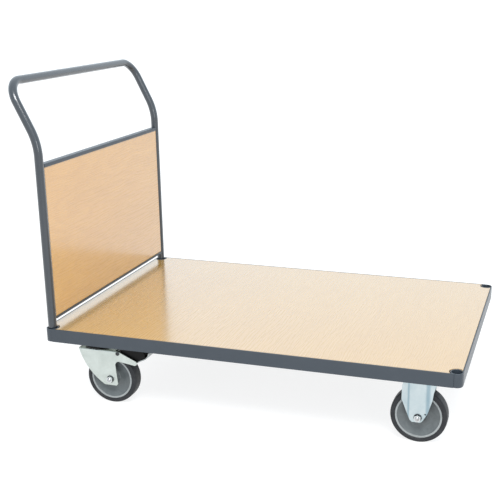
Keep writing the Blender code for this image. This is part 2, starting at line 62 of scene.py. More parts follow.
# Platform
RAIL_THICK = 3 * MM
RAIL_FILLET = 2.5 * MM
LEDGE_WIDTH = 10 * MM
RAIL_END = 6 * MM  # from a socket's middle to the end of a rail
CHANNEL_CORNER = 4 * MM
SOCKET_BORE = 15 * MM
SOCKET_FLOOR = 4 * MM
SOCKET_DRAIN = 4 * MM
SOCKET_RELIEF = 3.5 * MM  # between a socket and the board around it
CUP_ROUNDING = 0.8 * MM
CUP_FOOT = 1.5 * MM
WELD_RADIUS = 2 * MM
WELD_STEP = 0.6 * MM
FACING = 0.5  # a face looks along an axis if its normal has more than this along it

# Handle frame
TUBE_RADIUS = 12.5 * MM
TUBE_WALL = 2 * MM
KNEE_HEIGHT = 792 * MM
KNEE_RADIUS = 175 * MM
HANDLE_LEAN = math.radians(26.4)
CORNER_RADIUS = 62 * MM
SHEET_THICK = 2 * MM
SHEET_CORNER = 1.5 * MM
PANEL_WELD_RADIUS = 2.2 * MM
PANEL_WELD_REACH = 1.2 * MM  # from a channel's end to the middle of its weld

# Casters
BOLT_SPACING_X = 105 * MM
BOLT_SPACING_Y = 80 * MM
BOLT_HOLE = 5.5 * MM
BOLT_RADIUS = 5 * MM
BOLT_HEAD = 9.8 * MM  # from the middle to a corner
BOLT_HEAD_THICK = 6.4 * MM
NUT_PLAY = 0.1 * MM
WASHER_PLAY = 0.2 * MM
WASHER_RADIUS = 10 * MM
WASHER_THICK = 2 * MM
THREAD_PITCH = 1.5 * MM
THREAD_DEPTH = 0.55 * MM
PLATE_CORNER = 12 * MM
AXLE_RADIUS = 6 * MM
BUSH_RADIUS = 10 * MM
HEX_RADIUS = 10.4 * MM
HEX_THICK = 8 * MM
AXLE_TAIL = 3 * MM
AXLE_POINT = 0.6 * MM
AXLE_POINT_DEPTH = 1.4 * MM
AXLE_NUT_PLAY = 0.15 * MM
# Dark washer under an axle nut: a ring of painted shade round the nut
SHADE_WASHER_RADIUS = 11.5 * MM
SHADE_WASHER_THICK = 1.6 * MM

# Wheels
HUB_RADIUS = 18.5 * MM
HUB_HALF_WIDTH = 21 * MM
DISC_START = (22.5 * MM, 7.2 * MM)  # radius and half width of the wheel's disc
DISC_MIDDLE = (38 * MM, 8 * MM)
DISC_END = (59 * MM, 17 * MM)
LIP_RADIUS = 60 * MM
RIM_RADIUS = 65.5 * MM
RIM_HALF_WIDTH = 19 * MM
TYRE_STEP = 1 * MM  # how far the tyre stands out past the rim
TYRE_STEP_RADIUS = 68 * MM
TYRE_HALF_WIDTH = 20 * MM
WHEEL_RADIUS = 80 * MM
TREAD_HALF_WIDTH = 9 * MM
TREAD_CROWN = 0.7 * MM

# Swivel fork and brake. The fork's side view is in millimetres, from the floor under the swivel axis, and an
# arc is its centre, radius, start and end.
FORK_FRONT = ((130.2, 217.3), 184.1, 194.3, 236.5)
FORK_FOOT = [(33, 61), (71, 61), (76, 67), (70.5, 126)]
FORK_NOTCH = ((83.5, 127), 13, 180, 85)
FORK_HORN = ((134, 140), 7.5, -105, 62)
FORK_THICK = 4 * MM
FORK_HALF_WIDTH = 29 * MM
FORK_TOP = 172 * MM
FORK_BEND = 5 * MM
FORK_INNER_BEND = 1.5 * MM
RACE_RADIUS = 38 * MM
KINGPIN_RADIUS = 6 * MM
KINGPIN_HEAD = 11 * MM
PEDAL_PIN_RADIUS = 3 * MM
PEDAL_PIN_DOME = 2 * MM
PEDAL_EYE = 7 * MM
PEDAL_HALF_WIDTH = 22 * MM
PEDAL_THICK = 3 * MM
PEDAL_REACH = 99 * MM  # from the pedal's pin to its tip
PEDAL_TIP_RADIUS = 9 * MM
PEDAL_COVER_END = 86 * MM
PEDAL_COVER_INSET = 1.5 * MM
RIBS = 6
RIB_START = (72 * MM, 12.5 * MM)
RIB_PITCH = 9 * MM
RIB_RISE = 0.4 * MM
RIB_SECTION = [(2.6, -0.8), (1.3, 1.2), (-1.3, 1.2), (-2.6, -0.8)]  # in millimetres

TOOL_REACH = (-WHEEL_RADIUS, WHEEL_RADIUS)  # of a tool that cuts through a caster

# Fixed fork. Its side view is in millimetres, from the floor under its plate's middle: corners, each with
# the radius of its bend.
SIDE_FRONT = [(48.5, 180, 25), (41, 155, 50), (39, 136, 25), (26.5, 94, 40), (12, 69.5, 4)]
SIDE_FOOT = [(7, 66, 5), (-16, 66, 5), (-22, 71, 6)]
SIDE_BACK = [(-47.5, 129, 6), (-47, 168, 30), (-42, 188, 15)]
SIDE_THICK = 3 * MM
SIDE_HALF_WIDTH = 31 * MM
SIDE_FLAT = 27 * MM
SIDE_EDGE = 50 * MM
SIDE_TURN = 6 * MM
SIDE_BEND = 8 * MM
TOOL_HOLE = 2.5 * MM
TOOL_HOLE_PLACE = (20.5 * MM, 92 * MM)

# Fineness
WHEEL_FACETS = 128
SOCKET_FACETS = 72
TUBE_FACETS = 40
SMALL_FACETS = 32
WELD_FACETS = 10
ARC_STEPS = 14
SMOOTH_ANGLE = math.radians(32)
BEVEL_ANGLE = math.radians(38)

# Materials
GRAIN_WAVE = 7 * MM
GRAIN_RINGS = 13

# Studio and camera
FLOOR_REACH = 60.0
FLOOR_GLOW = 0.82
SKY_COLOUR = (0.85, 0.93, 1, 1)
SKY_STRENGTH = 1.45
SKY_DIP = 1.25  # strength halfway up
CAMERA_PLACE = (0.894, -2.676, 1.216)
CAMERA_PITCH = math.radians(73.24)
CAMERA_YAW = math.radians(16.24)
CAMERA_LENS = 67.0  # for a 36 mm sensor
CAMERA_SHIFT = (-0.1125, 0.0323)

SIDES = {"right": -1, "left": 1}
ENDS = {"handle": -1, "front": 1}
CROSS_MEMBERS = ("swivel_caster_beam", "fixed_caster_beam", "cross_member_1", "cross_member_2")


# -------- meshes

def arc(centre, radius, start, end, steps=ARC_STEPS):
    """Points of a circular arc between two angles in degrees, both ends among them."""
    angles = [math.radians(start + (end - start) * step / steps) for step in range(steps + 1)]
    return [(centre[0] + radius * math.cos(a), centre[1] + radius * math.sin(a)) for a in angles]


def rounded(points, radii, steps=6, closed=True):
    """Outline with its corners turned into arcs. A radius of 0 keeps a corner sharp."""
    count = len(points)
    result = []
    for i, corner in enumerate(points):
        radius = radii[i] if isinstance(radii, list) else radii
        at_end = not closed and i in (0, count - 1)
        if radius <= 0 or at_end:
            result.append(tuple(corner))
            continue
        here = Vector(corner)
        before = (Vector(points[i - 1]) - here).normalized()
        after = (Vector(points[(i + 1) % count]) - here).normalized()
        half_angle = before.angle(after) / 2
        tangent = radius / math.tan(half_angle)
        middle = here + (before + after).normalized() * radius / math.sin(half_angle)
        start = here + before * tangent - middle
        sweep = start.angle_signed(here + after * tangent - middle)
        for step in range(steps + 1):
            turned_by = Matrix.Rotation(-sweep * step / steps, 2)
            result.append(tuple(middle + turned_by @ start))
    return result


def in_mm(points):
    """Points given in millimetres, in metres."""
    return [(x * MM, z * MM) for x, z in points]


def mesh_from(bm):
    """Smooth mesh with its faces pointing out."""
    bmesh.ops.recalc_face_normals(bm, faces=bm.faces)
    mesh = bpy.data.meshes.new("shape")
    bm.to_mesh(mesh)
    bm.free()
    mesh.shade_smooth()
    return mesh


def crisp(mesh):
    """The same mesh, with its sharp edges shaded as sharp."""
    mesh.set_sharp_from_angle(angle=SMOOTH_ANGLE)
    return mesh


def placed(axis, u, v, w):
    """Point at w along an axis, and at u and v across it."""
    return {"X": (w, u, v), "Y": (u, w, v), "Z": (u, v, w)}[axis]


def skinned(rings, closed):
    """Mesh over rings of points. It closes on itself, or else it is capped at both ends."""
    bm = bmesh.new()
    rings = [[bm.verts.new(point) for point in ring] for ring in rings]
    if closed:
        pairs = zip(rings, rings[1:] + rings[:1])
    else:
        pairs = zip(rings, rings[1:])
        bm.faces.new(rings[0])
        bm.faces.new(rings[-1])
    for near, far in pairs:
        for i in range(len(near)):
            after = (i + 1) % len(near)
            bm.faces.new((near[i], near[after], far[after], far[i]))
    return mesh_from(bm)


def prism(outline, low, high, axis):
    """Solid with a closed outline of 2-D points, extruded along X, Y or Z from low to high."""
    return skinned([[placed(axis, u, v, level) for u, v in outline] for level in (low, high)], closed=False)


def rectangle(low, high):
    """Outline of the rectangle between two opposite corners."""
    return [(low[0], low[1]), (high[0], low[1]), (high[0], high[1]), (low[0], high[1])]


def block(low, high):
    """Box between two opposite corners."""
    return prism(rectangle(low[:2], high[:2]), low[2], high[2], "Z")


def turn_angles(facets):
    """Angles of a round section's corners."""
    return [2 * math.pi * i / facets for i in range(facets)]


def turned(profile, axis, facets, ring=False):
    """Solid turned about an axis through the origin, from (radius, place along the axis) points.

    A ring's profile closes on itself and stays off the axis; any other solid is capped at both ends.
    """
    angles = turn_angles(facets)
    rings = [[placed(axis, r * math.cos(a), r * math.sin(a), h) for a in angles] for r, h in profile]
    return crisp(skinned(rings, closed=ring))


def swept_tube(path, radii, facets):
    """Tube along a path, hollow with two radii. A radius is a number, or a list of one for each point."""
    last = len(path) - 1
    angles = turn_angles(facets)
    tangents = [(path[min(i + 1, last)] - path[max(i - 1, 0)]).normalized() for i in range(last + 1)]
    across = tangents[0].orthogonal().normalized()
    walls = [[] for _ in radii]
    for i, (point, tangent) in enumerate(zip(path, tangents)):
        if i:
            across = tangents[i - 1].rotation_difference(tangent) @ across
        other = tangent.cross(across)
        for wall, radius in zip(walls, radii):
            size = radius[i] if isinstance(radius, list) else radius
            wall.append([point + size * (math.cos(a) * across + math.sin(a) * other) for a in angles])
    hollow = len(walls) == 2
    rings = walls[0] + walls[1][::-1] if hollow else walls[0]
    return crisp(skinned(rings, closed=hollow))


def moved(mesh, offset):
    """The same mesh, shifted."""
    mesh.transform(Matrix.Translation(Vector(offset)))
    return mesh


def mirrored(mesh, side):
    """The same mesh, made for the left side, mirrored when side is the right one."""
    if side < 0:
        mesh.transform(Matrix.Scale(-1, 4, Vector((0, 1, 0))))
        mesh.flip_normals()
    return mesh


def new_object(name, data):
    """Object in the scene that shows a mesh, light or camera."""
    obj = bpy.data.objects.new(name, data)
    bpy.context.scene.collection.objects.link(obj)
    return obj


def modified(mesh, kind, **settings):
    """Mesh that a modifier makes of another."""
    obj = new_object("work", mesh)
    modifier = obj.modifiers.new("work", kind)
    for name, value in settings.items():
        setattr(modifier, name, value)
    bpy.context.view_layer.update()
    evaluated = obj.evaluated_get(bpy.context.evaluated_depsgraph_get())
    result = bpy.data.meshes.new_from_object(evaluated)
    bpy.data.objects.remove(obj, do_unlink=True)
    return result


def boolean(base, tool, operation="DIFFERENCE"):
    """Mesh left when the tool is cut from, joined to or intersected with the base."""
    cutter = new_object("cutter", tool)
    result = modified(base, "BOOLEAN", operation=operation, object=cutter)
    bpy.data.objects.remove(cutter, do_unlink=True)
    return result


def eased(mesh, width):
    """Mesh with its sharp edges rounded off, and even shading on its flat faces."""
    mesh.shade_smooth()
    return modified(mesh, "BEVEL", width=width, segments=2, limit_method="ANGLE",
                    angle_limit=BEVEL_ANGLE, harden_normals=True)


def joined(meshes):
    """One mesh of several closed shells."""
    bm = bmesh.new()
    for mesh in meshes:
        bm.from_mesh(mesh)
    return crisp(mesh_from(bm))


def cylinder(radius, low, high, axis, centre=(0, 0, 0), facets=SMALL_FACETS):
    """Round bar along an axis between two places on it."""
    return moved(turned([(radius, low), (radius, high)], axis, facets), centre)


def hex_block(radius, low, high, axis):
    """Bolt head or nut blank, its corners chamfered at both ends."""
    corners = [(radius * math.sin(math.pi * i / 3), radius * math.cos(math.pi * i / 3)) for i in range(6)]
    chamfer = 0.16 * radius
    flat = 0.9 * radius
    reach = radius * 1.02
    envelope = [(flat, low), (reach, low + chamfer), (reach, high - chamfer), (flat, high)]
    return boolean(prism(corners, low, high, axis), turned(envelope, axis, SMALL_FACETS), "INTERSECT")


def thread(radius, low, high):
    """Profile of a threaded rod's surface between two places, as turned ridges."""
    turns = max(1, round((high - low) / THREAD_PITCH))
    pitch = (high - low) / turns
    points = [(radius - THREAD_DEPTH, low)]
    for i in range(turns):
        points.append((radius, low + (i + 0.5) * pitch))
        points.append((radius - THREAD_DEPTH, low + (i + 1) * pitch))
    return points


def add_piece(name, mesh, look, body, node=None):
    """Piece that rides on a CAD body and stands for a CAD node. Its look is a slot's name, which is not used,
    and materials.
    """
    slot, *materials = look
    mesh.name = name
    mesh.materials.clear()
    for material in materials:
        mesh.materials.append(material)
    piece = new_object(name, mesh)
    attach(piece, body)
    if node:
        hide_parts(node)


def floor_below(node):
    """Point of the floor below the middle of a CAD node's box."""
    low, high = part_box(node)
    return Vector(((low.x + high.x) / 2, (low.y + high.y) / 2, 0))


def joint_place(body):
    """Point on the axis of the joint that a body turns on."""
    return Vector(next(joint["pos_m"] for joint in frame["joints"] if joint["child"] == body))


# -------- materials

def add_node(tree, kind, inputs=None, **settings):
    """Shader node with its settings. An input is a value, or another node's output to link."""
    node = tree.nodes.new(kind)
    for name, value in settings.items():
        setattr(node, name, value)
    for name, value in (inputs or {}).items():
        if isinstance(value, bpy.types.NodeSocket):
            tree.links.new(value, node.inputs[name])
        else:
            node.inputs[name].default_value = value
    return node


def own_place(tree):
    """A point's place in the piece's own space."""
    return add_node(tree, "ShaderNodeTexCoord").outputs["Object"]


def stretched(tree, scale, place=None):
    """A place, the piece's own unless one is given, times one scale or one for each axis."""
    scales = scale if isinstance(scale, tuple) else (scale, scale, scale)
    inputs = {"Vector": own_place(tree) if place is None else place, "Scale": scales}
    return add_node(tree, "ShaderNodeMapping", inputs).outputs["Vector"]


def noise(tree, scale, detail=4.0, roughness=0.5, distortion=0.0, place=None):
    """Noise between 0 and 1. The scale is in cycles per metre."""
    return add_node(tree, "ShaderNodeTexNoise", {
        "Vector": stretched(tree, scale, place), "Scale": 1.0, "Detail": detail, "Roughness": roughness,
        "Distortion": distortion}).outputs["Fac"]


def cells(tree, scale, output):
    """Colour of irregular cells, or the distance from their middles."""
    inputs = {"Vector": stretched(tree, scale), "Scale": 1.0}
    return add_node(tree, "ShaderNodeTexVoronoi", inputs).outputs[output]


def calculated(tree, operation, first, second=0.0):
    """Result of a sum on one or two values."""
    return add_node(tree, "ShaderNodeMath", {0: first, 1: second}, operation=operation).outputs[0]


def remap(tree, value, source, target=(0, 1)):
    """Value taken from one range to another and kept inside it."""
    return add_node(tree, "ShaderNodeMapRange", {
        "Value": value, "From Min": source[0], "From Max": source[1], "To Min": target[0],
        "To Max": target[1]}).outputs["Result"]


def blend(tree, factor, *colours):
    """Second colour over the first by a factor. A mix node's sockets 6 and 7 take the colours."""
    first, second = [colour if isinstance(colour, bpy.types.NodeSocket) else (*colour, 1.0)
                     for colour in colours]
    return add_node(tree, "ShaderNodeMix", {0: factor, 6: first, 7: second}, data_type="RGBA").outputs[2]


def bump(tree, height, strength, distance, below=None):
    """Normal that a height field in metres gives the surface."""
    inputs = {"Height": height, "Strength": strength, "Distance": distance}
    if below is not None:
        inputs["Normal"] = below
    return add_node(tree, "ShaderNodeBump", inputs).outputs["Normal"]


def make_material(name, **values):
    """Principled material with constant values on its sockets, its node tree and its shader."""
    material = bpy.data.materials.new(name)
    material.use_nodes = True
    tree = material.node_tree
    shader = tree.nodes["Principled BSDF"]
    for socket, value in values.items():
        shader.inputs[socket.replace("_", " ")].default_value = value
    return material, tree, shader


def link(tree, shader, **outputs):
    """Link node outputs to the shader's sockets."""
    for socket, output in outputs.items():
        tree.links.new(output, shader.inputs[socket.replace("_", " ")])


def powder_coat(name, gloss, dark, pale, rough):
    """Anthracite powder coat: orange peel, slight clouding and a few lightly rubbed patches."""
    material, tree, shader = make_material(name, Coat_Weight=gloss, Coat_Roughness=0.12, Coat_IOR=1.5)
    clouds = noise(tree, 9, 3)
    rubbed = remap(tree, noise(tree, 22, 8, 0.65), (0.56, 0.80), (0, 0.30))
    colour = blend(tree, clouds, dark, pale)
    colour = blend(tree, rubbed, colour, (0.042, 0.051, 0.062))
    link(tree, shader, Base_Color=colour,
         Roughness=remap(tree, noise(tree, 25, 5, 0.6), (0.3, 0.7), rough),
         Normal=bump(tree, noise(tree, 420, 2), 0.2, 0.2 * MM))
    return "painted_steel", material


def wavy_place(tree, across):
    """The piece's own place, shifted across the grain by slow waves."""
    wave = remap(tree, noise(tree, 4.5, 3), (0.2, 0.8), (-GRAIN_WAVE, GRAIN_WAVE))
    shift = add_node(tree, "ShaderNodeVectorMath", {0: tuple(across), "Scale": wave}, operation="SCALE")
    inputs = {0: own_place(tree), 1: shift.outputs[0]}
    return add_node(tree, "ShaderNodeVectorMath", inputs, operation="ADD").outputs[0]


def year_rings(tree, scale, place):
    """Grain lines of a board: contours of a slow noise, which close into long ovals and arches."""
    height = noise(tree, scale, 2, 0.45, place=place)
    wave = calculated(tree, "SINE", calculated(tree, "MULTIPLY", height, 2 * math.pi * GRAIN_RINGS))
    return remap(tree, wave, (-0.2, 1))


def wood_laminate(slot, pale, deep, cross, contrast, coat_ior):
    """Wood-grain laminate under a clear coat. The grain runs along Y, and cross is the axis across it."""
    material, tree, shader = make_material(f"{slot}_laminate", Coat_Weight=1.0, Coat_Roughness=0.17,
                                           Coat_IOR=coat_ior)
    across = {"X": Vector((1, 0, 0)), "Z": Vector((0, 0, 1))}[cross]
    along = Vector((0, 1, 0))
    place = wavy_place(tree, across)

    def grain(fine, long):
        return tuple(across * fine + along * long)

    rings = year_rings(tree, grain(6, 1.6), place)
    streaks = noise(tree, grain(210, 9), 5, 0.6, place=place)
    clouds = noise(tree, grain(8, 2.2))
    pores = remap(tree, noise(tree, grain(700, 40), 2, place=place), (0.58, 0.72))
    colour = blend(tree, remap(tree, clouds, (0.3, 0.7), (0, 0.5 * contrast)), pale, deep)
    colour = blend(tree, remap(tree, rings, (0, 1), (0, 0.45 * contrast)), colour, deep)
    colour = blend(tree, remap(tree, streaks, (0.38, 0.7), (0, 0.75 * contrast)), colour, deep)
    dark_pore = tuple(0.6 * c for c in deep)
    colour = blend(tree, remap(tree, pores, (0, 1), (0, 0.55 * contrast)), colour, dark_pore)
    link(tree, shader, Base_Color=colour,
         Roughness=remap(tree, streaks, (0.3, 0.7), (0.22, 0.34)),
         Normal=bump(tree, pores, 0.12, -0.08 * MM),
         Coat_Normal=bump(tree, noise(tree, 140, 2), 0.05, 0.2 * MM))
    return slot, material


def raw_board():
    """Cut edge of a chipboard, with flakes of light and dark wood."""
    material, tree, shader = make_material("chipboard_edge", Roughness=0.85)
    flakes = cells(tree, (420, 420, 900), "Color")
    tone = add_node(tree, "ShaderNodeSeparateColor", {"Color": flakes}).outputs["Red"]
    colour = blend(tree, tone, (0.30, 0.19, 0.10), (0.50, 0.37, 0.22))
    link(tree, shader, Base_Color=colour, Normal=bump(tree, tone, 0.4, 0.3 * MM))
    return material


def dark_underside_shade():
    """Dark brown underside of the deck board, mottled and slightly glossy. Its darkness is partly painted
    shade: the shade under the deck, as the zinc tops of the forks reflect it.
    """
    material, tree, shader = make_material("dark_underside_painted_shade", Specular_IOR_Level=0.4)
    mottle = noise(tree, 35, 5, 0.6)
    link(tree, shader, Base_Color=blend(tree, mottle, (0.030, 0.024, 0.020), (0.052, 0.040, 0.031)),
         Roughness=remap(tree, mottle, (0.3, 0.7), (0.4, 0.55)),
         Normal=bump(tree, noise(tree, 500, 3), 0.2, 0.1 * MM))
    return material


def painted_crease_shade(tree, middle_x):
    """Darker blue bands along the two creases of a fixed fork's side, wider in front: painted shade at the
    creases.
    """
    x = add_node(tree, "ShaderNodeSeparateXYZ", {"Vector": own_place(tree)}).outputs["X"]
    marks = []
    for crease, width in ((-SIDE_FLAT, 4 * MM), (SIDE_FLAT, 8 * MM)):
        off_crease = calculated(tree, "ABSOLUTE", calculated(tree, "SUBTRACT", x, middle_x + crease))
        marks.append(remap(tree, off_crease, (width / 3, width), (0.75, 0)))
    return calculated(tree, "MAXIMUM", *marks)


def zinc_plate(name, tint, shade, smooth, dull, crease_x=None):
    """Bright zinc plating on pressed steel: cloudy passivation, fine drawing lines and a soft gleam."""
    material, tree, shader = make_material(name, Metallic=1.0)
    clouds = noise(tree, 28, 5, 0.6, 0.6)
    lines = noise(tree, (900, 900, 40), 3, 0.6)
    colour = blend(tree, remap(tree, clouds, (0.35, 0.68)), tint, shade)
    # On a fixed fork, bands of painted shade darken the zinc along its two creases.
    if crease_x is not None:
        colour = blend(tree, painted_crease_shade(tree, crease_x), colour, (0.22, 0.32, 0.37))
    rough = remap(tree, clouds, (0.3, 0.7), (smooth, dull))
    surface = bump(tree, noise(tree, 300), 0.10, 0.1 * MM)
    link(tree, shader, Base_Color=colour, Roughness=rough, Normal=bump(tree, lines, 0.06, 0.05 * MM, surface))
    return "zinc_steel", material


def bare_steel(name, clean, stained):
    """Turned and rolled steel of bolts, pins and bushes, with a little oil staining."""
    material, tree, shader = make_material(name, Metallic=1.0)
    stains = remap(tree, noise(tree, 120, 6, 0.7), (0.45, 0.75))
    colour = blend(tree, stains, clean, stained)
    link(tree, shader, Base_Color=colour, Roughness=remap(tree, stains, (0, 1), (0.22, 0.45)),
         Normal=bump(tree, noise(tree, 1400, 2), 0.15, 0.05 * MM))
    return "steel", material


def moulded_grey(name, base, pale):
    """Grey polyamide wheel body: fine mould texture, faint flow marks and dust."""
    material, tree, shader = make_material(name, Specular_IOR_Level=0.45)
    flow = noise(tree, 40, 4, 0.55, 1.2)
    colour = blend(tree, remap(tree, flow, (0.35, 0.7)), base, pale)
    link(tree, shader, Base_Color=colour, Roughness=remap(tree, flow, (0.3, 0.7), (0.34, 0.48)),
         Normal=bump(tree, noise(tree, 700, 3), 0.2, 0.12 * MM))
    return "grey_rim", material


def tyre_rubber():
    """Dark grey rubber: matt, with a little floor dust and scuffing."""
    material, tree, shader = make_material("grey_rubber", Specular_IOR_Level=0.35)
    dust = remap(tree, noise(tree, 60, 8, 0.7), (0.48, 0.75))
    colour = blend(tree, dust, (0.012, 0.013, 0.015), (0.030, 0.030, 0.032))
    link(tree, shader, Base_Color=colour, Roughness=remap(tree, dust, (0, 1), (0.5, 0.75)),
         Normal=bump(tree, noise(tree, 900, 3), 0.3, 0.15 * MM))
    return "grey_tyre", material


def black_plastic(name, smooth, dull):
    """Moulded black plastic with a pebbled skin."""
    material, tree, shader = make_material(name, Specular_IOR_Level=0.15)
    wear = remap(tree, noise(tree, 90, 6, 0.7), (0.5, 0.72))
    colour = blend(tree, wear, (0.004, 0.004, 0.004), (0.012, 0.011, 0.011))
    link(tree, shader, Base_Color=colour, Roughness=remap(tree, wear, (0, 1), (smooth, dull)),
         Normal=bump(tree, cells(tree, 900, "Distance"), 0.25, 0.15 * MM))
    return "black_plastic", material


# -------- platform

def rail_profile(side, board_bottom):
    """Section of an edge rail: a web outside and a ledge under the board, with a rounded inside bend."""
    low, high = (corner.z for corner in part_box("side_rail_right"))
    ledge_bottom = board_bottom - RAIL_THICK
    inner = RAIL_THICK + LEDGE_WIDTH
    points = [(0, low), (RAIL_THICK, low), (RAIL_THICK, ledge_bottom), (inner, ledge_bottom),
              (inner, board_bottom - GAP), (RAIL_THICK, board_bottom - GAP), (RAIL_THICK, high), (0, high)]
    radii = [0, 0, RAIL_FILLET, 0, 0, 0, 0, 0]
    return rounded([(side * -depth, height) for depth, height in points], radii)


def socket_places():
    """Floor point below each corner socket, by the socket's node."""
    return {f"{end}_socket_{side}": floor_below(f"{end}_socket_{side}") for end in ENDS for side in SIDES}


def socket_radius():
    """Outer radius of a corner socket."""
    low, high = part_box("front_socket_right")
    return (high.x - low.x) / 2


def clear_of_sockets(mesh, gap):
    """The mesh cut back from the four sockets by a gap."""
    for node, place in socket_places().items():
        low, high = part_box(node)
        column = cylinder(socket_radius() + gap, low.z - MM, high.z + MM, "Z", place, SOCKET_FACETS)
        mesh = boolean(mesh, column)
    return mesh


def build_rails(paint):
    """Side rails along X and end rails along Y, cut to meet the corner sockets."""
    board_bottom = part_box("deck_board")[0].z
    places = socket_places()
    handle_x = places["handle_socket_right"].x
    front_x = places["front_socket_right"].x
    socket_y = places["front_socket_left"].y
    side_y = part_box("side_rail_left")[1].y
    for name, side in SIDES.items():
        outline = [(side * side_y + y, z) for y, z in rail_profile(side, board_bottom)]
        rail = prism(outline, handle_x + RAIL_END, front_x - RAIL_END, "X")
        rail = eased(clear_of_sockets(rail, GAP), SOFT_EDGE)
        add_piece(f"rail_side_{name}", rail, paint, "platform", f"side_rail_{name}")
    ledge_end = side_y - RAIL_THICK - LEDGE_WIDTH - GAP
    for end, side in ENDS.items():
        node = f"{end}_end_rail"
        end_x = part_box(node)[0 if side < 0 else 1].x
        outline = [(end_x + x, z) for x, z in rail_profile(side, board_bottom)]
        rail = prism(outline, RAIL_END - socket_y, socket_y - RAIL_END, "Y")
        # The ledge stops short of the side rails' ledges.
        depths = (RAIL_THICK + GAP, RAIL_THICK + LEDGE_WIDTH + MM)
        near, far = sorted(end_x - side * depth for depth in depths)
        for sign in SIDES.values():
            start, stop = sorted((sign * ledge_end, sign * side_y))
            cut = block((near, start, board_bottom - RAIL_THICK - MM), (far, stop, board_bottom + MM))
            rail = boolean(rail, cut)
        rail = eased(clear_of_sockets(rail, GAP), SOFT_EDGE)
        add_piece(f"rail_{end}_end", rail, paint, "platform", node)


def build_sockets(paint):
    """Four round cups with rounded rims and a drain hole in the floor."""
    radius = socket_radius()
    for node, place in socket_places().items():
        low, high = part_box(node)
        floor = low.z + SOCKET_FLOOR
        corners = [(SOCKET_DRAIN, low.z), (radius, low.z), (radius, high.z), (SOCKET_BORE, high.z),
                   (SOCKET_BORE, floor), (SOCKET_DRAIN, floor)]
        radii = [0, CUP_FOOT, CUP_ROUNDING, CUP_ROUNDING, CUP_FOOT, 0]
        cup = turned(rounded(corners, radii, 4), "Z", SOCKET_FACETS, ring=True)
        add_piece(node.replace("socket", "cup"), moved(cup, place), paint, "platform", node)


def build_boards(deck_wood, panel_wood, edge, underside_shade):
    """Deck board with its round cut-outs and dark underside, partly painted shade, and the panel between the
    handle's legs.
    """
    deck = eased(clear_of_sockets(block(*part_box("deck_board")), SOCKET_RELIEF), EDGE)
    add_piece("deck_laminate", deck, (*deck_wood, edge, underside_shade), "platform", "deck_board")
    for face in deck.polygons:
        # Faces looking down take the dark underside, partly painted shade.
        face.material_index = 0 if face.normal.z > FACING else 2 if face.normal.z < -FACING else 1
    panel = eased(block(*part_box("panel_board")), EDGE)
    add_piece("panel_laminate", panel, (*panel_wood, edge), "handle", "panel_board")
    for face in panel.polygons:
        face.material_index = 0 if abs(face.normal.x) > FACING else 1


def channel_outline(width, low, high, thick, corner):
    """Section of a channel that opens upwards, bent from sheet."""
    half = width / 2
    inside = half - thick
    points = [(-half, low), (half, low), (half, high), (inside, high), (inside, low + thick),
              (-inside, low + thick), (-inside, high), (-half, high)]
    inner = max(corner - thick, 0.3 * thick)
    return rounded(points, [corner, corner, 0, 0, inner, inner, 0, 0], 5)


def bolt_places(middle):
    """Middles of a caster's four bolts."""
    return [Vector((middle.x + x * BOLT_SPACING_X / 2, middle.y + y * BOLT_SPACING_Y / 2, 0))
            for x in (-1, 1) for y in (-1, 1)]


def with_bolt_holes(mesh, middle, low, high):
    """The mesh with a caster's four bolt holes drilled through it."""
    for place in bolt_places(middle):
        mesh = boolean(mesh, cylinder(BOLT_HOLE, low - MM, high + MM, "Z", place))
    return mesh


def plate_node(kind, side):
    """CAD node of a caster's plate. A fixed caster's plate and fork are one."""
    return f"{kind}_{side}_{'top_plate' if kind == 'swivel' else 'fork'}"


def build_cross_members(paint):
    """Channels under the board, from rail to rail."""
    for node in CROSS_MEMBERS:
        low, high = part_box(node)
        outline = channel_outline(high.x - low.x, low.z, high.z, RAIL_THICK, CHANNEL_CORNER)
        beam = moved(prism(outline, low.y, high.y, "Y"), ((low.x + high.x) / 2, 0, 0))
        kind = node.split("_")[0]
        if kind in ("swivel", "fixed"):
            for side in SIDES:
                beam = with_bolt_holes(beam, floor_below(plate_node(kind, side)), low.z, low.z + RAIL_THICK)
        add_piece(f"channel_{node}", eased(beam, EDGE), paint, "platform", node)


def weld_bead(start, end, radius):
    """Bead of weld between two points, rippled along its length and pinched at its ends."""
    start, end = Vector(start), Vector(end)
    steps = max(8, round((end - start).length / WELD_STEP))
    path = [start.lerp(end, i / steps) for i in range(steps + 1)]
    radii = []
    for i in range(steps + 1):
        pinch = min(1.0, 0.35 + 0.3 * min(i, steps - i))
        ripple = 1 + 0.08 * math.sin(i * 1.9)
        radii.append(radius * pinch * ripple)
    return swept_tube(path, [radii], WELD_FACETS)


def build_frame_welds(paint):
    """Welds that hold the cross members to the side rails, all under the board."""
    beads = []
    rail_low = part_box("side_rail_right")[0].z
    side_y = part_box("side_rail_left")[1].y - RAIL_THICK
    for node in CROSS_MEMBERS:
        low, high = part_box(node)
        for x in (low.x - MM, high.x + MM):
            for side in SIDES.values():
                y = side * (side_y - MM)
                foot = (x, y, rail_low + WELD_RADIUS)
                beads.append(weld_bead(foot, (x, y, high.z - WELD_RADIUS), WELD_RADIUS))
    add_piece("frame_welds", joined(beads), paint, "platform")


# -------- handle frame

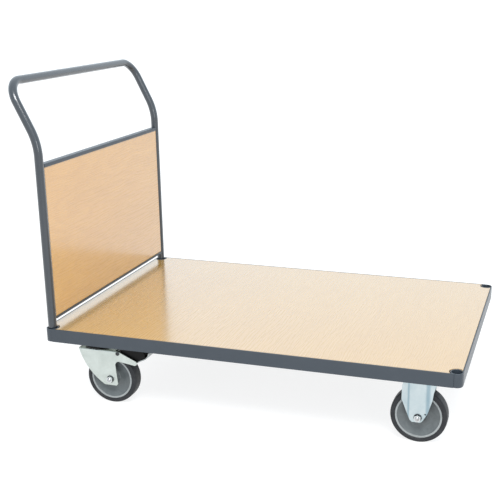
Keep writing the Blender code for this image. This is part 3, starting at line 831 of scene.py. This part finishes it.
def handle_path():
    """Middle line of the handle's tube: up one leg, across the top and down the other."""
    leg_x, leg_y, _ = floor_below("handle_socket_left")
    low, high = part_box("handle_tube")
    crossbar_height = high.z - TUBE_RADIUS
    lean = Vector((-math.sin(HANDLE_LEAN), 0, math.cos(HANDLE_LEAN)))
    knee_start = KNEE_HEIGHT - KNEE_RADIUS * math.tan(HANDLE_LEAN / 2)
    leg = [Vector((leg_x, -leg_y, low.z))]
    for x, z in arc((leg_x - KNEE_RADIUS, knee_start), KNEE_RADIUS, 0, math.degrees(HANDLE_LEAN)):
        leg.append(Vector((x, -leg_y, z)))
    leaned_back = (crossbar_height - KNEE_HEIGHT) * math.tan(HANDLE_LEAN)
    corner = Vector((leg_x - leaned_back, -leg_y, crossbar_height))
    for along, up in arc((CORNER_RADIUS, -CORNER_RADIUS), CORNER_RADIUS, 180, 90, 2 * ARC_STEPS):
        leg.append(corner + lean * up + Vector((0, along, 0)))
    return leg + [Vector((point.x, -point.y, point.z)) for point in reversed(leg)]


def build_handle(tube_paint, paint):
    """Bent tube, the two channels that hold the panel, and the welds between them."""
    tube = swept_tube(handle_path(), [TUBE_RADIUS, TUBE_RADIUS - TUBE_WALL], TUBE_FACETS)
    add_piece("handle_bent_tube", tube, tube_paint, "handle", "handle_tube")
    beads = []
    for node, flip in (("panel_bottom_channel", 1), ("panel_top_channel", -1)):
        low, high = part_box(node)
        outline = channel_outline(high.x - low.x, 0, high.z - low.z, SHEET_THICK, SHEET_CORNER)
        base = low.z if flip > 0 else high.z
        middle_x = (low.x + high.x) / 2
        outline = [(middle_x + x, base + flip * z) for x, z in outline]
        channel = eased(prism(outline, low.y, high.y, "Y"), FINE_EDGE)
        add_piece(f"{node}_bent", channel, paint, "handle", node)
        for side in SIDES.values():
            for x in (low.x + MM, high.x - MM):
                y = side * (high.y + PANEL_WELD_REACH)
                beads.append(weld_bead((x, y, low.z + MM), (x, y, high.z - MM), PANEL_WELD_RADIUS))
    add_piece("handle_welds", joined(beads), paint, "handle")


# -------- casters

def build_plate_bolts(kind, side, zinc):
    """Four bolts through a caster's plate and the beam above it, with washers and nuts."""
    plate = plate_node(kind, side)
    plate_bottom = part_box(plate)[1].z - FORK_THICK
    beam_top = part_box(f"{kind}_caster_beam")[0].z + RAIL_THICK
    head = hex_block(BOLT_HEAD, plate_bottom - BOLT_HEAD_THICK, plate_bottom - GAP, "Z")
    nut_low = beam_top + WASHER_THICK + GAP
    nut_high = nut_low + BOLT_HEAD_THICK
    washer = rectangle((BOLT_RADIUS + WASHER_PLAY, beam_top + GAP / 2), (WASHER_RADIUS, nut_low - GAP / 2))
    shank = [(BOLT_RADIUS, plate_bottom - MM), (BOLT_RADIUS, nut_high)]
    shank += thread(BOLT_RADIUS, nut_high, nut_high + 2 * THREAD_PITCH)
    bore = cylinder(BOLT_RADIUS + NUT_PLAY, nut_low - MM, nut_high + MM, "Z")
    bolt = joined([boolean(head, turned(shank, "Z", SMALL_FACETS), "UNION"),
                   turned(washer, "Z", SMALL_FACETS, ring=True),
                   boolean(hex_block(BOLT_HEAD, nut_low, nut_high, "Z"), bore)])
    bolts = [moved(bolt.copy(), place) for place in bolt_places(floor_below(plate))]
    add_piece(f"{kind}_{side}_plate_bolts", joined(bolts), zinc, "platform")


def rim_profile():
    """Half section of the wheel body, from its bore to the tyre: hub, dished disc and carrying ring."""
    points = [(BUSH_RADIUS + GAP, HUB_HALF_WIDTH), (HUB_RADIUS, HUB_HALF_WIDTH), DISC_START, DISC_MIDDLE,
              DISC_END, (LIP_RADIUS + 0.5 * MM, RIM_HALF_WIDTH), (RIM_RADIUS, RIM_HALF_WIDTH)]
    radii = [0, 1.5 * MM, 5 * MM, 25 * MM, 2 * MM, 1 * MM, 0]
    return rounded(points, radii, 6, closed=False)


def tyre_profile():
    """Half section of the tyre: flat wall with a moulded step, rounded shoulder and crowned tread."""
    half = TYRE_HALF_WIDTH
    step = half - TYRE_STEP
    points = [(RIM_RADIUS + GAP, step), (TYRE_STEP_RADIUS, step), (TYRE_STEP_RADIUS + TYRE_STEP, half),
              (WHEEL_RADIUS - TREAD_CROWN, half), (WHEEL_RADIUS, TREAD_HALF_WIDTH)]
    radii = [0, 0.5 * MM, 0.5 * MM, 5.5 * MM, 0]
    return rounded(points, radii, 8, closed=False)


def wheel_mesh(profile):
    """Ring turned about the axle, from a half section and its mirror image."""
    return turned(profile + [(r, -y) for r, y in reversed(profile)], "Y", WHEEL_FACETS, ring=True)


def build_wheel(name, axle, looks):
    """Wheel body, its lip in a lighter grey as a painted highlight, and its tyre."""
    rim = wheel_mesh(rim_profile())
    # Faces on the lip take the lighter grey of the painted highlight.
    on_lip = [math.hypot(face.center.x, face.center.z) > LIP_RADIUS for face in rim.polygons]
    add_piece(f"{name}_wheel_rim", moved(rim, axle), looks["rim"], f"{name}_wheel", f"{name}_rim")
    rim.polygons.foreach_set("material_index", on_lip)
    tyre = moved(wheel_mesh(tyre_profile()), axle)
    add_piece(f"{name}_wheel_tyre", tyre, looks["rubber"], f"{name}_wheel", f"{name}_tyre")


def build_axle(name, side, inner_half, outer_half, axle, body, looks):
    """Bush, axle bolt, washer and nut. The washer is dark steel, and its ring round the nut is painted shade.
    The nut is on the truck's outer side.
    """
    bush = rectangle((AXLE_RADIUS + GAP, GAP - inner_half), (BUSH_RADIUS, inner_half - GAP))
    bush = turned(bush, "Y", SMALL_FACETS, ring=True)
    add_piece(f"{name}_bearing_bush", moved(bush, axle), looks["steel"], body, f"{name}_axle_bush")

    seat = outer_half + GAP
    nut_low = seat + SHADE_WASHER_THICK + GAP
    nut_high = seat + HEX_THICK
    tip = nut_high + AXLE_TAIL
    # Dark washer under the nut: where its rim shows round the nut, it is painted shade.
    washer = rectangle((AXLE_RADIUS + GAP, seat), (SHADE_WASHER_RADIUS, seat + SHADE_WASHER_THICK))
    washer = turned(rounded(washer, [0, 0, 0.6 * MM, 0.3 * MM], 4), "Y", SOCKET_FACETS, ring=True)
    shaft = [(AXLE_RADIUS, -seat - MM), (AXLE_RADIUS, nut_high - MM)]
    shaft += thread(AXLE_RADIUS, nut_high - MM / 2, tip - AXLE_POINT)
    shaft.append((AXLE_RADIUS - AXLE_POINT_DEPTH, tip))
    head = hex_block(HEX_RADIUS, -seat - HEX_THICK, -seat, "Y")
    bolt = crisp(boolean(turned(shaft, "Y", SMALL_FACETS), head, "UNION"))
    bore = cylinder(AXLE_RADIUS + AXLE_NUT_PLAY, nut_low - MM, tip + MM, "Y")
    nut = crisp(boolean(hex_block(HEX_RADIUS, nut_low, nut_high, "Y"), bore))
    for part, mesh, look, node in (("shade_washer", washer, "dark_steel_and_shade", None),
                                   ("hex_bolt", bolt, "steel", f"{name}_axle_bolt"),
                                   ("hex_nut", nut, "nut_zinc", f"{name}_axle_nut")):
        add_piece(f"{name}_{part}", moved(mirrored(mesh, side), axle), looks[look], body, node)


def swivel_fork_outline(pivot):
    """Side view of a swivel fork, from its swivel axis: a leg down to the axle and a horn to the pedal."""
    front, notch, horn = (in_mm(arc(*bend)) for bend in (FORK_FRONT, FORK_NOTCH, FORK_HORN))
    foot = rounded([front[-1]] + in_mm(FORK_FOOT), [0, 6 * MM, 3 * MM, 3 * MM, 0], 5, closed=False)
    return front + foot[1:] + notch + horn + [(pivot.x, FORK_TOP), (front[0][0], FORK_TOP)]


def swivel_fork_mesh(axle, pivot):
    """Pressed fork: an arch over the wheel, open above the pedal, with rounded edges and its holes."""
    half = FORK_HALF_WIDTH
    inner = half - FORK_THICK
    bend = arc((half - FORK_BEND, FORK_TOP - FORK_BEND), FORK_BEND, 0, 90, 8)
    crook = (inner - FORK_INNER_BEND, FORK_TOP - FORK_THICK - FORK_INNER_BEND)
    inside = arc(crook, FORK_INNER_BEND, 90, 0, 4)
    arch = [(half, 0)] + bend + [(-y, z) for y, z in reversed(bend)] + [(-half, 0), (-inner, 0)]
    arch += [(-y, z) for y, z in reversed(inside)] + inside + [(inner, 0)]
    fork = prism(arch, -WHEEL_RADIUS, 2 * WHEEL_RADIUS, "X")
    fork = boolean(fork, prism(swivel_fork_outline(pivot), *TOOL_REACH, "Y"), "INTERSECT")
    fork = boolean(fork, block((pivot.x - PEDAL_EYE - MM, -inner, FORK_TOP - 2 * FORK_THICK),
                               (2 * WHEEL_RADIUS, inner, FORK_TOP + MM)))
    for radius, axis, centre in ((KINGPIN_RADIUS + GAP, "Z", (0, 0, FORK_TOP)),
                                 (AXLE_RADIUS + GAP, "Y", (axle.x, 0, axle.z)),
                                 (PEDAL_PIN_RADIUS + GAP, "Y", (pivot.x, 0, pivot.z))):
        fork = boolean(fork, cylinder(radius, *TOOL_REACH, axis, centre))
    return eased(fork, ROUND_EDGE)


def above(path, depth):
    """An open path of points that runs to the right, moved up by a depth square to it."""
    result = []
    for i, (x, z) in enumerate(path):
        start, end = path[max(i - 1, 0)], path[min(i + 1, len(path) - 1)]
        along = Vector((end[0] - start[0], end[1] - start[1])).normalized()
        result.append((x - along.y * depth, z + along.x * depth))
    return result


def pedal_meshes():
    """Brake lever with a rolled eye, and its ribbed black cover, from the pedal's pin."""
    tip = PEDAL_REACH
    corners = in_mm([(8, -8), (30, -13), (57, -27), (88, -12)]) + [(tip - 2 * MM, -3 * MM), (tip, 7 * MM)]
    under = rounded(corners, [0, 20 * MM, 6 * MM, 14 * MM, 9 * MM, 0], 6, closed=False)
    eye = arc((0, 0), PEDAL_EYE, 45, 290, 20)
    lever = prism(eye + under + above(under, PEDAL_THICK)[::-1], -PEDAL_HALF_WIDTH, PEDAL_HALF_WIDTH, "Y")
    lever = boolean(lever, cylinder(PEDAL_PIN_RADIUS + GAP, *TOOL_REACH, "Y"))
    plan = rectangle((-2 * PEDAL_EYE, -PEDAL_HALF_WIDTH), (tip, PEDAL_HALF_WIDTH))
    plan = rounded(plan, [0, PEDAL_TIP_RADIUS, PEDAL_TIP_RADIUS, 0], 8)
    lever = boolean(lever, prism(plan, *TOOL_REACH, "Z"), "INTERSECT")

    bed = [(x, z) for x, z in above(under, PEDAL_THICK + GAP) if x < PEDAL_COVER_END]
    crest = []
    for i in range(RIBS):
        x, z = RIB_START[0] - i * RIB_PITCH, RIB_START[1] + i * RIB_RISE
        crest += [(x + along, z + up) for along, up in in_mm(RIB_SECTION)]
    cover = bed + in_mm([(84, 4), (78, 11)]) + crest + in_mm([(16, 13), (10, 8)])
    half = PEDAL_HALF_WIDTH - PEDAL_COVER_INSET
    return eased(lever, EDGE), eased(prism(cover, -half, half, "Y"), SOFT_EDGE)


def pedal_pin_mesh():
    """Pin through the fork's horns, with a domed head on the truck's outer side."""
    end = FORK_HALF_WIDTH + 2 * GAP
    head = 2 * PEDAL_PIN_RADIUS
    dome = PEDAL_PIN_DOME
    profile = [(PEDAL_PIN_RADIUS, dome - end), (PEDAL_PIN_RADIUS, end), (head, end), (head, end + 0.4 * dome),
               (0.75 * head, end + 0.8 * dome), (0.35 * head, end + dome)]
    return turned(profile, "Y", SMALL_FACETS)


def upper_race(low, high):
    """Pressed upper race of the swivel bearing."""
    bore = KINGPIN_RADIUS + GAP
    section = [(bore, low), (RACE_RADIUS - 3 * MM, low), (RACE_RADIUS, high - 2 * MM), (RACE_RADIUS, high),
               (bore, high)]
    return turned(rounded(section, [0, 3 * MM, 1 * MM, 0.5 * MM, 0], 4), "Z", SOCKET_FACETS, ring=True)


def lower_race(low, high):
    """Black lower race of the swivel bearing, with a lip."""
    bore = KINGPIN_RADIUS + GAP
    outer = RACE_RADIUS - MM
    section = [(bore, low), (FORK_HALF_WIDTH, low), (outer, low + 4 * MM), (outer, high - 3 * MM),
               (RACE_RADIUS - 3 * MM, high), (bore, high)]
    return turned(rounded(section, [0, 2 * MM, 3 * MM, 2 * MM, 1 * MM, 0], 5), "Z", SOCKET_FACETS, ring=True)


def kingpin(low, high):
    """Riveted pin of the swivel bearing, with a domed head below."""
    head = KINGPIN_HEAD
    return turned([(0.5 * head, low), (0.85 * head, low + 0.8 * MM), (head, low + 2.4 * MM),
                   (head, low + 5 * MM), (KINGPIN_RADIUS, low + 5 * MM), (KINGPIN_RADIUS, high)],
                  "Z", SMALL_FACETS)


def build_swivel_caster(side_name, looks):
    """Swivel caster with a foot brake."""
    side = SIDES[side_name]
    name = f"swivel_{side_name}"
    low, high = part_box(f"{name}_top_plate")
    base = floor_below(f"{name}_top_plate")
    plate = prism(rounded(rectangle(low.xy, high.xy), PLATE_CORNER), low.z, high.z, "Z")
    plate = with_bolt_holes(plate, base, low.z, high.z)
    plate = boolean(plate, cylinder(KINGPIN_RADIUS + GAP, low.z - MM, high.z + MM, "Z", base))
    add_piece(f"{name}_plate", eased(plate, EDGE), looks["zinc"], "platform", f"{name}_top_plate")

    for make, part, node, look, body in ((upper_race, "pressed_race", "upper_race", "zinc", "platform"),
                                         (lower_race, "dust_ring", "lower_race", "gloss", name),
                                         (kingpin, "rivet", "kingpin", "steel", "platform")):
        low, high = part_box(f"{name}_{node}")
        add_piece(f"{name}_{part}", moved(make(low.z, high.z), base), looks[look], body, f"{name}_{node}")

    axle = joint_place(f"{name}_wheel")
    pivot = joint_place(f"{name}_pedal")
    fork = moved(swivel_fork_mesh(axle - base, pivot - base), base)
    add_piece(f"{name}_pressed_fork", fork, looks["zinc"], name, f"{name}_fork")
    pin = moved(mirrored(pedal_pin_mesh(), side), pivot)
    add_piece(f"{name}_pin", pin, looks["dark_steel_and_shade"], name, f"{name}_pedal_pin")
    lever, cover = (moved(mesh, pivot) for mesh in pedal_meshes())
    add_piece(f"{name}_lever", lever, looks["worn_zinc"], f"{name}_pedal", f"{name}_brake_lever")
    add_piece(f"{name}_cover", cover, looks["plastic"], f"{name}_pedal", f"{name}_pedal_cover")
    build_axle(name, side, FORK_HALF_WIDTH - FORK_THICK, FORK_HALF_WIDTH, axle, name, looks)
    build_wheel(name, axle, looks)
    build_plate_bolts("swivel", side_name, looks["zinc"])


def fixed_fork_mesh(low, high):
    """Pressed fork: a plate with rounded corners and two creased sides, its middle above the origin."""
    half = SIDE_HALF_WIDTH
    crease = rounded([(SIDE_EDGE, half - SIDE_TURN), (SIDE_FLAT, half), (-SIDE_FLAT, half),
                      (-SIDE_EDGE, half - SIDE_TURN)], [0, SIDE_BEND, SIDE_BEND, 0], 8, closed=False)
    section = crease + [(x, y - SIDE_THICK) for x, y in reversed(crease)]
    corners = SIDE_FRONT + SIDE_FOOT + SIDE_BACK
    edge = in_mm((x, z) for x, z, bend in corners)
    bends = [0] + [bend * MM for x, z, bend in corners] + [0]
    outline = rounded([(SIDE_EDGE, high.z)] + edge + [(edge[-1][0], high.z)], bends, 5, closed=False)
    view = prism(outline, *TOOL_REACH, "Y")
    plate_half = (high - low).xy / 2
    plate = rounded(rectangle(-plate_half, plate_half), PLATE_CORNER)
    fork = prism(plate, high.z - FORK_THICK, high.z, "Z")
    for sign in SIDES.values():
        wall = prism([(x, sign * y) for x, y in section], 0, high.z - MM, "Z")
        fork = boolean(fork, boolean(wall, view, "INTERSECT"), "UNION")
    return fork


def build_fixed_caster(side_name, looks):
    """Fixed caster at the front end."""
    name = f"fixed_{side_name}"
    low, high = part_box(f"{name}_fork")
    base = floor_below(f"{name}_fork")
    axle = joint_place(f"{name}_wheel")
    fork = fixed_fork_mesh(low, high)
    for radius, (x, z) in ((AXLE_RADIUS + GAP, (axle - base).xz), (TOOL_HOLE, TOOL_HOLE_PLACE)):
        fork = boolean(fork, cylinder(radius, *TOOL_REACH, "Y", (x, 0, z)))
    fork = with_bolt_holes(moved(fork, base), base, high.z - FORK_THICK, high.z)
    add_piece(f"{name}_pressed_fork", eased(fork, SOFT_EDGE), looks["blue_zinc"], "platform", f"{name}_fork")
    build_axle(name, SIDES[side_name], SIDE_HALF_WIDTH - SIDE_THICK, SIDE_HALF_WIDTH, axle, "platform", looks)
    build_wheel(name, axle, looks)
    build_plate_bolts("fixed", side_name, looks["zinc"])


# -------- studio

def build_floor():
    """Wide pale floor with a glow of its own, so that it fades into the surround."""
    corners = rectangle((-FLOOR_REACH, -FLOOR_REACH), (FLOOR_REACH, FLOOR_REACH))
    mesh = bpy.data.meshes.new("studio_floor")
    mesh.from_pydata([(x, y, 0) for x, y in corners], [], [range(4)])
    material, tree, shader = make_material("pale_floor", Roughness=0.8, Emission_Color=(1, 1, 1, 1),
                                           Emission_Strength=FLOOR_GLOW)
    link(tree, shader, Base_Color=remap(tree, noise(tree, 2, 3), (0.3, 0.7), (0.22, 0.25)))
    mesh.materials.append(material)
    new_object("studio_floor", mesh)


def build_sky():
    """Evenly lit white surround, a little cool and slightly darker between the horizon and the ceiling."""
    world = bpy.data.worlds.new("studio")
    world.use_nodes = True
    bpy.context.scene.world = world
    tree = world.node_tree
    place = add_node(tree, "ShaderNodeTexCoord")
    height = add_node(tree, "ShaderNodeSeparateXYZ", {"Vector": place.outputs["Generated"]}).outputs["Z"]
    dip = calculated(tree, "ABSOLUTE", calculated(tree, "SUBTRACT", height, 0.5))
    strength = remap(tree, dip, (0, 0.25), (SKY_DIP, SKY_STRENGTH))
    background = tree.nodes["Background"]
    background.inputs["Color"].default_value = SKY_COLOUR
    tree.links.new(strength, background.inputs["Strength"])


def add_softbox(name, place, target, size, power):
    """Rectangular area light aimed at a point."""
    light = bpy.data.lights.new(name, "AREA")
    light.shape = "RECTANGLE"
    light.size, light.size_y = size
    light.energy = power
    obj = new_object(name, light)
    obj.location = place
    obj.rotation_euler = (Vector(target) - Vector(place)).to_track_quat("-Z", "Y").to_euler()


def build_camera():
    """Camera at the standing height and distance of a catalogue view."""
    data = bpy.data.cameras.new("camera")
    data.lens = CAMERA_LENS
    data.shift_x, data.shift_y = CAMERA_SHIFT
    camera = new_object("camera", data)
    camera.location = CAMERA_PLACE
    camera.rotation_euler = (CAMERA_PITCH, 0, CAMERA_YAW)
    bpy.context.scene.camera = camera


def build_studio():
    """Floor, surround, softboxes, camera and plain colour management."""
    build_floor()
    build_sky()
    add_softbox("key_softbox", place=(0.9, -2.0, 2.9), target=(0, 0, 0.2), size=(1.4, 1.0), power=85)
    add_softbox("side_softbox", place=(1.9, -2.4, 1.1), target=(-0.6, -0.4, 0.8), size=(0.5, 0.7), power=8)
    build_camera()
    bpy.context.scene.view_settings.view_transform = "Standard"


def caster_looks():
    """Looks of the casters' pieces."""
    fixed_x = joint_place("fixed_right_wheel").x
    rim = moulded_grey("grey_polyamide", (0.078, 0.087, 0.089), (0.106, 0.118, 0.119))
    # Lighter grey for the lip: a painted highlight where the lip's rounded edge catches light.
    _, lip = moulded_grey("painted_highlight_polyamide_lip", (0.215, 0.226, 0.224), (0.28, 0.292, 0.29))
    return {
        "zinc": zinc_plate("bright_zinc", (0.56, 0.6, 0.565), (0.49, 0.525, 0.49), 0.34, 0.46),
        "blue_zinc": zinc_plate("blue_zinc", (0.52, 0.575, 0.585), (0.435, 0.51, 0.53), 0.3, 0.42, fixed_x),
        "nut_zinc": zinc_plate("smooth_zinc", (0.66, 0.68, 0.68), (0.52, 0.54, 0.54), 0.12, 0.24),
        "worn_zinc": zinc_plate("worn_zinc", (0.4, 0.42, 0.42), (0.31, 0.33, 0.33), 0.3, 0.45),
        "steel": bare_steel("plain_steel", (0.46, 0.47, 0.48), (0.22, 0.2, 0.18)),
        # Dark steel for the pedal pins, and for the washers that put painted shade round the axle nuts.
        "dark_steel_and_shade": bare_steel("dark_steel_and_painted_shade", (0.06, 0.062, 0.066), (0.028, 0.027, 0.026)),
        "rim": (*rim, lip),
        "rubber": tyre_rubber(),
        "plastic": black_plastic("black_plastic", 0.38, 0.55),
        "gloss": black_plastic("glossy_black_plastic", 0.14, 0.26),
    }


def main():
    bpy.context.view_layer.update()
    paint = powder_coat("frame_powder_coat", 0.25, (0.018, 0.026, 0.035), (0.026, 0.035, 0.046), (0.44, 0.55))
    tube_paint = powder_coat("tube_powder_coat", 1.0, (0.006, 0.011, 0.017), (0.011, 0.017, 0.024),
                             (0.26, 0.36))
    deck_wood = wood_laminate("deck_wood", (0.42, 0.24, 0.052), (0.346, 0.183, 0.033), "X", 0.45, 2.6)
    panel_wood = wood_laminate("panel_wood", (0.5, 0.254, 0.038), (0.405, 0.188, 0.018), "Z", 0.8, 2.2)
    looks = caster_looks()
    build_rails(paint)
    build_sockets(paint)
    build_boards(deck_wood, panel_wood, raw_board(), dark_underside_shade())
    build_cross_members(paint)
    build_frame_welds(paint)
    build_handle(tube_paint, paint)
    for side_name in SIDES:
        build_swivel_caster(side_name, looks)
        build_fixed_caster(side_name, looks)
    build_studio()


main()
